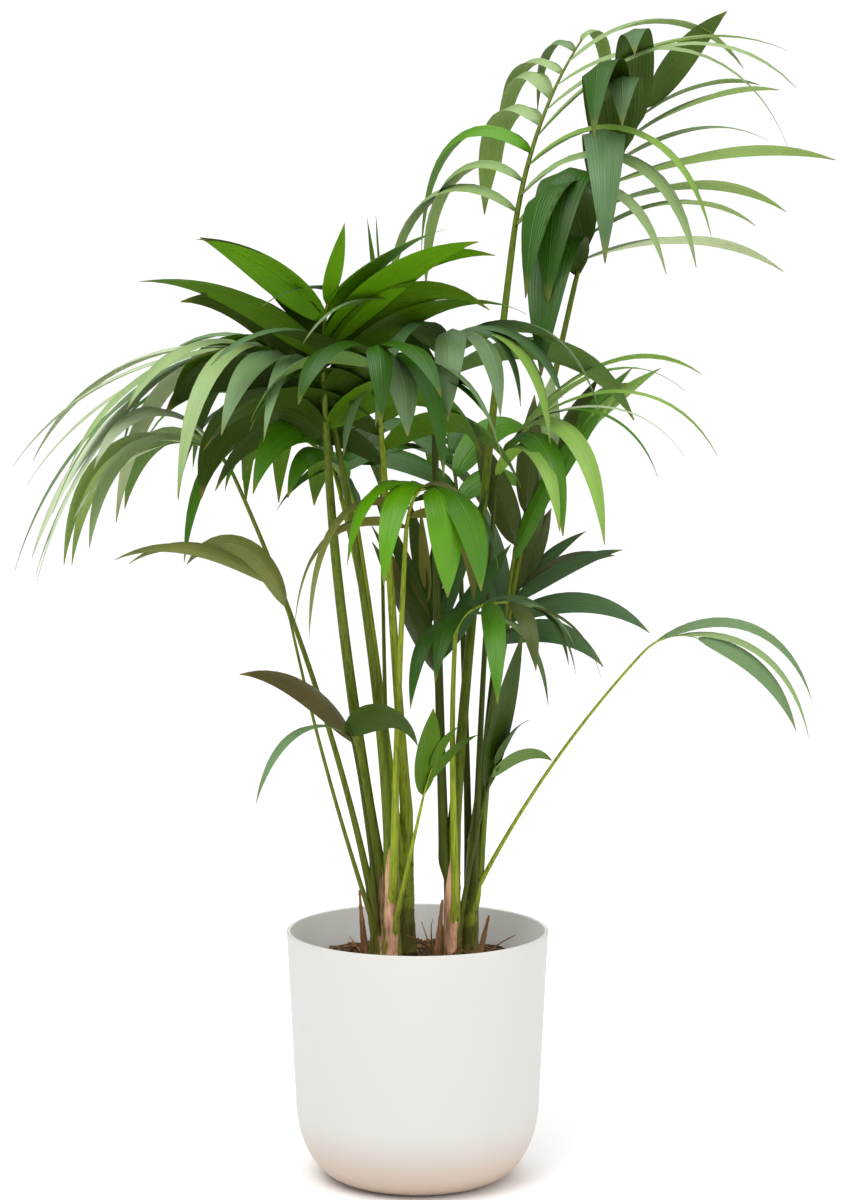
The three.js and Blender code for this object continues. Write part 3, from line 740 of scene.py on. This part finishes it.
FRONDS["lower_front"] = dict(
    stem="stem_right_front", fork=0.062, around=290, azimuth=215, turn=125, lean=2, neck=6,
    tip=104, bend=0.5, petiole=0.268, blade=0.105, thick=0.0036, stray=1.5, pairs=4, leaf=0.145,
    width=0.026, spread=(70, 24), lift=(0, 0), droop=(3, 2.2),
    end=dict(leaf=0.2, width=0.022, droop=(2, 2)),
)
FRONDS["lower_right"] = dict(
    stem="stem_right_back", fork=0.06, around=65, azimuth=50, turn=-30, lean=4, neck=8, tip=50,
    petiole=0.245, blade=0.09, thick=0.003, stray=1.6, roll=30, level=0.3, pairs=4, leaf=0.16,
    width=0.028, spread=(40, 24), lift=(12, 12), droop=(0.5, 0.5),
    right=dict(spread=(66, 20), droop=(1.6, 0.5), width=0.026, leaf=0.155),
)
FRONDS["inner_left"] = dict(
    stem="stem_left_back", fork=0.102, around=225, azimuth=172, lean=6, neck=9, tip=70,
    petiole=0.342, blade=0.11, thick=0.0042, stray=2, level=0.4, pairs=4, leaf=0.165,
    width=0.034, spread=(46, 24), lift=(8, 8), droop=(2.2, 2.6),
)
FRONDS["centre_back"] = dict(
    stem="stem_left_back", fork=0.142, azimuth=230, turn=44, lean=6, neck=11, tip=84,
    petiole=0.34, blade=0.205, thick=0.0052, stray=2, level=0.3, pairs=6, leaf=0.205,
    width=0.041, spread=(36, 30), lift=(0, 10), droop=(1.6, 3.4),
)
FRONDS["spear"] = dict(
    stem="stem_left_front", fork=0.07, around=95, azimuth=112, lean=5, neck=1, tip=1,
    petiole=0.5, blade=0.11, thick=0.0024, pairs=1, leaf=0.11, width=0.012, spread=(4, 3),
    lift=(4, 4), droop=(0.1, 0.1),
)
FRONDS["under_left"] = dict(
    stem="stem_left", fork=0.034, around=262, azimuth=230, lean=6, neck=16, tip=70,
    petiole=0.185, blade=0.024, thick=0.0024, level=0.3, pairs=1, leaf=0.14, width=0.032,
    taper=0.4, spread=(60, 60), lift=(6, 6), droop=(1.6, 1.6),
    left=dict(
        roll=46, level=0, spread=(76, 76), lift=(0, 0), droop=(2.6, 2.6), leaf=0.122, width=0.042,
    ),
    right=dict(spread=(28, 28), droop=(1.7, 1.7), width=0.04, leaf=0.132),
    end=dict(leaf=0.19, width=0.016, droop=(2, 2), taper=0),
)
FRONDS["small_inner"] = dict(
    stem="stem_left_front", fork=0.042, around=300, azimuth=318, lean=16, neck=16, tip=24,
    petiole=0.124, blade=0.04, thick=0.0024, level=0, pairs=1, leaf=0.11, width=0.032, taper=0,
    spread=(10, 10), lift=(0, 0), droop=(0.3, 0.3),
    left=dict(spread=(34, 34), width=0.022, leaf=0.07, droop=(1, 1)),
)
FRONDS["small_right"] = dict(
    stem="stem_right_front", fork=0.042, around=345, azimuth=322, lean=11, neck=16, tip=24,
    petiole=0.124, blade=0.04, thick=0.0024, level=0, pairs=1, leaf=0.175, width=0.042, taper=0,
    spread=(6, 6), lift=(0, 0), droop=(0.2, 0.2),
    left=dict(spread=(44, 44), width=0.028, leaf=0.08, droop=(1.2, 1.2)),
)
FRONDS["back_left"] = dict(
    stem="stem_left_back", fork=0.092, around=150, azimuth=140, lean=6, neck=18, tip=90,
    petiole=0.38, blade=0.15, thick=0.004, stray=1.5, pairs=4, leaf=0.24, width=0.032,
    spread=(64, 18), lift=(10, 10), droop=(3.4, 3.4),
)
FRONDS["back_right"] = dict(
    stem="stem_right_back", fork=0.082, around=115, azimuth=100, lean=5, neck=14, tip=76,
    petiole=0.36, blade=0.13, thick=0.0038, stray=1.5, level=0.3, pairs=4, leaf=0.21, width=0.03,
    spread=(60, 20), lift=(6, 6), droop=(2.8, 2.8),
    right=dict(leaf=0.15, droop=(3.8, 3), width=0.036, spread=(46, 20)),
)
FRONDS["back_low"] = dict(
    stem="stem_right_front", fork=0.052, around=120, azimuth=160, lean=2, neck=4, tip=12,
    petiole=0.225, blade=0.09, thick=0.0032, stray=1.2, level=0, roll=75, pairs=4, leaf=0.16,
    width=0.024, spread=(34, 10), lift=(0, 0), droop=(0.2, 0.2),
    right=dict(width=0.02, spread=(24, 8)),
)
SPINE_STEPS = 64
PETIOLE_NECK = 0.6
PETIOLE_CLASP = 0.4
RIB_FOOT = 0.58
RIB_TIP = 0.2
RIB_LEAST = 0.0006


class Spine:
    """The line of a frond from its fork to the end of its rib."""

    def __init__(self, frond):
        self.frond = frond
        self.length = frond["petiole"] + frond["blade"]
        self.share = frond["petiole"] / self.length
        place = self.fork()
        self.places, self.frames = [], []
        for k in range(SPINE_STEPS + 1):
            self.places.append(place)
            self.frames.append(self.heading_at(k / SPINE_STEPS))
            ahead = self.heading_at(min((k + 0.5) / SPINE_STEPS, 1))[0]
            place = place + ahead * self.length / SPINE_STEPS

    def fork(self):
        """Where the frond starts: on its stem's top, or clasping the stem's side."""
        frond = self.frond
        stem = STEMS[frond["stem"]]
        place = stem_centre(stem, frond["fork"])
        if frond["fork"] >= stem["rise"]:
            lift = GAP + frond["thick"] * math.sin(math.radians(frond["lean"]))
            return place + np.array([0, 0, lift])
        around = math.radians(frond["azimuth"] if frond["around"] is None else frond["around"])
        out = stem_radius(stem, frond["fork"]) + frond["thick"] * PETIOLE_CLASP
        return place + np.array([math.cos(around), math.sin(around), 0]) * out

    def heading_at(self, s):
        frond = self.frond
        if s < self.share:
            lean = mix(frond["lean"], frond["neck"], s / self.share)
        else:
            bent = ((s - self.share) / (1 - self.share)) ** frond["bend"]
            lean = mix(frond["neck"], frond["tip"], bent)
        return heading(math.radians(lean), math.radians(frond["azimuth"] + frond["turn"] * s))

    def at(self, s):
        """Place and directions at a share of the frond's whole length."""
        x = min(s, 1) * SPINE_STEPS
        i = min(int(x), SPINE_STEPS - 1)
        place = mix(self.places[i], self.places[i + 1], x - i)
        along, side, up = mix(self.frames[i], self.frames[i + 1], x - i)
        return place, unit(along), unit(side), unit(up)


# The stalk: green and firm, yellower and wider where it clasps the stem, with a shallow channel
# along its upper face. It thins evenly into the rib and ends at the last leaflet.
STALK_SIDES = 12
STALK_STEPS = 60
STALK_CHANNEL = 0.35
CLASP_LENGTH = 0.05
CLASP_SPREAD = 0.3
SHEATH_STEPS = 10
SHEATH_LENGTH = 0.055
SHEATH_LEAD = 0.09
SHEATH_SKIN = 0.0012
SHEATH_WRAP = 0.6
SHEATH_FADE = 0.3
SHEATH_SUNK = 0.0014
# Painted light and shade: stalks that catch the light get the mid or bright tone, and the rest the
# dark one, besides their own green.
MID_STALKS = (
    "main_left", "crest_left", "arch_left", "low_left", "tall_front", "tall_back", "right_up",
    "spear",
)
BRIGHT_STALKS = (
    "inner_left", "back_left", "centre_front", "centre_back", "small_inner", "lower_front",
    "reach_right",
)


def stalk_radius(frond, spine, s):
    if s <= spine.share:
        radius = frond["thick"] * mix(1, PETIOLE_NECK, s / spine.share)
        return radius * (1 + CLASP_SPREAD * math.exp(-s * spine.length / CLASP_LENGTH))
    run = (s - spine.share) / (1 - spine.share)
    return max(frond["thick"] * mix(RIB_FOOT, RIB_TIP, run), RIB_LEAST)


def sheath_rings(frond, spine):
    """The stalk's foot run on down its stem: it widens, wraps the stem and dies away in it."""
    stem = STEMS[frond["stem"]]
    start, _, side, up = spine.at(0)
    radius = stalk_radius(frond, spine, 0)
    leads = frond["fork"] >= stem["rise"]
    length = min(SHEATH_LEAD if leads else SHEATH_LENGTH, frond["fork"])
    skin = SHEATH_SKIN * (1.3 - frond["fork"] / stem["rise"])
    rings = []
    for k in range(SHEATH_STEPS, 0, -1):
        u = k / SHEATH_STEPS
        height = frond["fork"] - length * u
        wrap = min(u / SHEATH_WRAP, 1)
        wrap = wrap * wrap * (3 - 2 * wrap)
        centre = stem_centre(stem, height)
        centre[:2] = mix(start[:2], centre[:2], wrap)
        fade = max(0.0, u - 1 + SHEATH_FADE) / SHEATH_FADE
        wide = mix(radius, stem_radius(stem, height) + skin, wrap) - SHEATH_SUNK * fade
        ring = []
        for j in range(STALK_SIDES):
            turn = 2 * math.pi * j / STALK_SIDES
            way = side * math.sin(turn) + up * math.cos(turn)
            way[2] *= 1 - wrap
            ring.append(centre + way * wide)
        rings.append(ring)
    return rings


def stalk_rings(frond, spine):
    """Rings from the end of the sheath to the end of the rib, channelled on the upper face."""
    rings = sheath_rings(frond, spine)
    for k in range(STALK_STEPS + 1):
        s = k / STALK_STEPS
        place, _, side, up = spine.at(s)
        radius = stalk_radius(frond, spine, s)
        ring = []
        for j in range(STALK_SIDES):
            turn = 2 * math.pi * j / STALK_SIDES
            channel = 1 - STALK_CHANNEL * max(0.0, math.cos(turn)) ** 3
            ring.append(place + (side * math.sin(turn) + up * math.cos(turn) * channel) * radius)
        rings.append(ring)
    return rings


# Painted light and shade: these three stalk tones are partly the stalks' own greens and partly
# painted, brighter for lit stalks and darker for shaded ones.
mid_stalk = stalk_finish("mid_stalk", (0.22, 0.21, 0.035, 1), (0.13, 0.185, 0.010, 1))
dark_stalk = stalk_finish("dark_stalk", (0.16, 0.16, 0.020, 1), (0.055, 0.080, 0.002, 1))
bright_stalk = stalk_finish("bright_stalk", (0.26, 0.27, 0.035, 1), (0.30, 0.38, 0.020, 1))
stalk_skins = {
    **dict.fromkeys(MID_STALKS, mid_stalk),
    **dict.fromkeys(BRIGHT_STALKS, bright_stalk),
}
for name, own in FRONDS.items():
    frond = {**USUAL, **own}
    skin = stalk_skins.get(name, dark_stalk)
    stalk = from_bmesh(name + "_stalk", grown(stalk_rings(frond, Spine(frond))), skin)
    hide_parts(name + "_petiole")
    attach(stalk, "root")

# The leaflets: long thin straps, folded along a raised midrib, widest a third of the way out and
# drawn to a fine point. Each grows out of the rib by its foot. Young ones at a frond's end stand
# stiff and bright, partly in their own fresh green and partly in painted light; older ones hang.
LEAFLET_STEPS = 16
LEAFLET_ROOT = 0.02
LEAFLET_REACH = 0.97
LEAF_THICK = 0.0005
LEAF_FOLD = (0.42, 0.12)
LEAF_SHOULDER = 0.42
ACROSS = (0, 0.25, 0.5, 0.75, 1, 0.75, 0.5, 0.25)
RING = len(ACROSS)
UPPER_SKIN = dict(rough=0.36, shine=0.35)
UNDER_SKIN = dict(rough=0.5, shine=0.15)
DARKER = 0.68
LIGHTER = 1.5
LIGHTER_MORE = 0.008
VEINS = 75.0
MIDRIB = 0.035
YELLOW_FROM = 0.9
YELLOW_TIP = (0.24, 0.22, 0.03, 1)
# Painted light and shade: these tones are partly the leaflets' own greens and partly painted. The
# paler tones carry painted sheen and light, vivid carries painted light shining through, and the
# darkest carry painted shade.
TONES = {
    "vivid": ((0.085, 0.260, 0.001, 1), (0.092, 0.240, 0.001, 1)),
    "lime": ((0.205, 0.355, 0.060, 1), (0.190, 0.345, 0.035, 1)),
    "mid": ((0.058, 0.185, 0.004, 1), (0.068, 0.155, 0.002, 1)),
    "deep": ((0.024, 0.088, 0.003, 1), (0.030, 0.060, 0.001, 1)),
    "teal": ((0.072, 0.148, 0.052, 1), (0.050, 0.095, 0.010, 1)),
    "grey": ((0.140, 0.235, 0.095, 1), (0.120, 0.210, 0.045, 1)),
    "soft": ((0.250, 0.365, 0.140, 1), (0.230, 0.350, 0.080, 1)),
    "pale": ((0.450, 0.540, 0.340, 1), (0.410, 0.490, 0.250, 1)),
    "olive": ((0.190, 0.205, 0.045, 1), (0.140, 0.140, 0.018, 1)),
    "dusk": ((0.058, 0.082, 0.012, 1), (0.072, 0.068, 0.009, 1)),
    "bronze": ((0.062, 0.068, 0.014, 1), (0.068, 0.058, 0.010, 1)),
}


def leaf_finish(name, tone, rough, shine):
    """A leaf's skin: clouded, finely veined along its length, with a paler midrib and a dry tip."""
    finish = Finish(name, Roughness=rough, Specular_IOR_Level=shine)
    across, along = finish.lie()
    cloud = finish.grain(finish.place(), 14.0)
    veins = (across * VEINS).sine()
    streaks = finish.node("ShaderNodeCombineXYZ", {}, {0: across * 60.0, 1: along * 2.0})
    fine = finish.grain(streaks, 1.0)
    midrib = 1 - finish.step(abs(across - 0.5), 0.0, MIDRIB)
    darker = tuple(DARKER * part for part in tone[:3]) + (1,)
    lighter = [LIGHTER * part + (LIGHTER_MORE if part > 0.01 else 0) for part in tone[:3]] + [1]
    base = finish.mix(finish.step(cloud, 0.35, 0.7) * 0.6, tone, darker)
    base = finish.mix(finish.step(fine, 0.4, 0.7) * 0.35, base, lighter)
    base = finish.mix(midrib * 0.25, base, lighter)
    base = finish.mix(finish.step(along, YELLOW_FROM, 1.0) * 0.6, base, YELLOW_TIP)
    relief = veins * 0.35 + fine * 0.6 + midrib * 1.4
    return finish.feed(
        Base_Color=base,
        Roughness=rough - 0.06 + 0.16 * cloud,
        Normal=finish.bump(relief, 0.5, 0.0005),
    )


def outline(u):
    """Half-width along a leaflet, as a share of its greatest half-width."""
    return max(2.72 * (u + 0.008) ** 0.62 * (1 - u), 0.03)


def leaflet_plan(whole, spine, number, index):
    """Where a leaflet starts, how it heads out and how far it bends down."""
    pairs = whole["pairs"]
    last = index == 2 * pairs
    sign = 1 if last or index % 2 else -1
    own = (last and whole["end"]) or whole["left" if sign > 0 else "right"]
    frond = {**whole, **own}
    t = 1 if last else (index // 2 + 0.35 + 0.5 * (index % 2)) / (pairs + 0.35)
    place, along, side, up = spine.at(mix(spine.share, 1, LEAFLET_ROOT + LEAFLET_REACH * t))
    roll = math.radians(frond["roll"])

    def chance(use):
        return frond["stray"] * wobble(number, index, use)

    length = frond["leaf"] * (0.8 + 0.2 * math.sin(math.pi * min(t + 0.1, 1)))
    length *= (1 - frond["taper"] * t ** 3) * (1 + 0.1 * chance(3))
    return dict(
        t=t, place=place, along=along, length=length, sign=sign, level=frond["level"],
        flank=side * math.cos(roll) + up * math.sin(roll),
        crown=up * math.cos(roll) - side * math.sin(roll),
        spread=math.radians(3 if last else mix(*frond["spread"], t) + 7 * chance(1)),
        lift=math.radians(mix(*frond["lift"], t) + 9 * chance(2)),
        droop=mix(*frond["droop"], t) * (1 + 0.3 * chance(4)),
        width=frond["width"] * (1 - frond["slim"] * t * t) * (1 + 0.12 * chance(5)),
        twist=math.radians(30 * wobble(number, index, 6)),
    )


def leaflet_rows(plan):
    """Rings of eight points round a leaflet's folded section: five over the top, three below."""
    spread, lift = plan["spread"], plan["lift"]
    flank = plan["flank"] * plan["sign"]
    out = flank * math.cos(lift) + plan["crown"] * math.sin(lift)
    ahead = unit(plan["along"] * math.cos(spread) + out * math.sin(spread))
    across = plan["along"] * math.sin(spread) - flank * math.cos(spread)
    across = unit(across - ahead * across.dot(ahead))
    flat = unit(np.array([ahead[1], -ahead[0], 0]))
    across = mix(across, flat if flat.dot(across) > 0 else -flat, plan["level"])
    place = plan["place"]
    rows = []
    for k in range(LEAFLET_STEPS + 1):
        u = k / LEAFLET_STEPS
        across = unit(across - ahead * across.dot(ahead))
        over = np.cross(across, ahead)
        flip = -1 if over[2] < 0 else 1
        turn = plan["twist"] * u
        wide = (across * math.cos(turn) + over * math.sin(turn)) * flip
        deep = np.cross(wide, ahead)
        half = outline(u) * plan["width"] / 2
        fold = half * mix(*LEAF_FOLD, u)
        shoulder = fold * LEAF_SHOULDER
        thick = LEAF_THICK * (1 - 0.5 * u)
        rows.append([
            place - wide * half,
            place - wide * half * 0.5 + deep * shoulder,
            place + deep * fold,
            place + wide * half * 0.5 + deep * shoulder,
            place + wide * half,
            place + wide * half * 0.5 + deep * (shoulder - thick),
            place + deep * (fold - thick * 1.6),
            place - wide * half * 0.5 + deep * (shoulder - thick),
        ])
        place = place + ahead * plan["length"] / LEAFLET_STEPS
        ahead = unit(ahead - np.array([0, 0, plan["droop"] * (0.5 + u) / LEAFLET_STEPS]))
    return rows


def joined_leaflets(name, frond, spine, number, palette):
    """All the leaflets of a frond in one mesh, with thin sharp margins and a map of each leaflet.

    A leaflet has its tone from the palette's first or second row in turn, picked by its place along
    the rib with a little chance.
    """
    points, faces, slots, lie = [], [], [], []
    for index in range(2 * frond["pairs"] + 1):
        plan = leaflet_plan(frond, spine, number, index)
        start = len(points)
        for row in leaflet_rows(plan):
            points += row
        share = plan["t"] + 0.45 * wobble(number, index, 8)
        row = palette[index % 2]
        tone = row[min(max(int(share * len(row)), 0), len(row) - 1)]
        for k in range(LEAFLET_STEPS):
            for j in range(RING):
                a, b = start + k * RING + j, start + k * RING + (j + 1) % RING
                faces.append((a, b, b + RING, a + RING))
                slots.append(2 * tone + (j >= RING // 2))
                low, high = k / LEAFLET_STEPS, (k + 1) / LEAFLET_STEPS
                left, right = ACROSS[j], ACROSS[(j + 1) % RING]
                lie += [(left, low), (right, low), (right, high), (left, high)]
        faces.append(tuple(reversed(range(start, start + RING))))
        end = start + LEAFLET_STEPS * RING
        faces.append(tuple(range(end, end + RING)))
        slots += [2 * tone + 1] * 2
        lie += [(0.5, 0)] * RING + [(0.5, 1)] * RING
    mesh = bpy.data.meshes.new(name)
    mesh.from_pydata(points, [], faces)
    mesh.polygons.foreach_set("material_index", slots)
    layer = mesh.uv_layers.new(name="lie")
    layer.data.foreach_set("uv", np.array(lie).ravel())
    mesh.shade_smooth()
    ends = np.empty(2 * len(mesh.edges), dtype=np.int32)
    mesh.edges.foreach_get("vertices", ends)
    first, second = ends.reshape(-1, 2).T
    margin = (abs(first - second) == RING) & (first % (RING // 2) == 0)
    mesh.edges.foreach_set("use_edge_sharp", margin)
    return mesh


tone_names = list(TONES)
leaf_skins = []
for tone, (upper, under) in TONES.items():
    leaf_skins.append(leaf_finish(tone + "_upper", upper, **UPPER_SKIN))
    leaf_skins.append(leaf_finish(tone + "_under", under, **UNDER_SKIN))
# Painted light and shade: besides each frond's own colour, its rows give paler tones where its
# leaflets catch the light and darker ones where they lie in shade.
PALETTES = {
    "main_left": (("deep", "mid", "deep", "mid", "vivid"), ("mid", "deep", "mid", "vivid", "vivid")),
    "crest_left": (("grey", "mid", "grey", "grey", "pale"), ("grey", "grey", "soft", "pale")),
    "tall_front": (("soft", "soft", "lime", "soft"), ("vivid", "grey", "soft", "grey", "soft")),
    "tall_back": (("deep", "teal", "deep", "teal", "teal"), ("soft", "lime", "pale", "soft", "soft")),
    "low_left": (("olive",), ("olive", "pale")),
    "under_left": (("bronze", "bronze", "grey"), ("teal",)),
    "small_inner": (("mid",), ("mid",)),
    "small_right": (("deep", "teal"), ("grey",)),
    "arch_left": (("grey", "soft", "pale"), ("pale", "olive", "soft")),
    "reach_right": (("grey",), ("soft",)),
    "centre_right": (("grey", "teal", "grey"), ("grey", "lime", "teal")),
    "centre_front": (("olive", "mid", "vivid"), ("olive", "deep", "mid")),
    "centre_back": (("deep", "teal", "deep", "grey"), ("mid", "grey", "deep", "grey")),
    "right_arch": (("teal", "lime", "mid"), ("lime", "lime", "pale")),
    "right_up": (("mid", "olive", "lime"), ("deep", "dusk", "soft")),
    "lower_front": (("deep", "mid", "dusk"), ("teal", "grey")),
    "lower_right": (("teal", "bronze", "deep"), ("teal", "dusk")),
    "back_low": (("dusk", "deep"), ("deep", "olive")),
}
PLAIN = (("deep", "mid", "mid"), ("deep", "mid", "deep"))
for number, (name, own) in enumerate(FRONDS.items(), 1):
    frond = {**USUAL, **own}
    tones = [[tone_names.index(tone) for tone in row] for row in PALETTES.get(name, PLAIN)]
    mesh = joined_leaflets(name + "_leaflets", frond, Spine(frond), number, tones)
    leaflets = piece(name + "_leaflets", mesh, *leaf_skins)
    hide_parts(name + "_blade")
    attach(leaflets, "root")
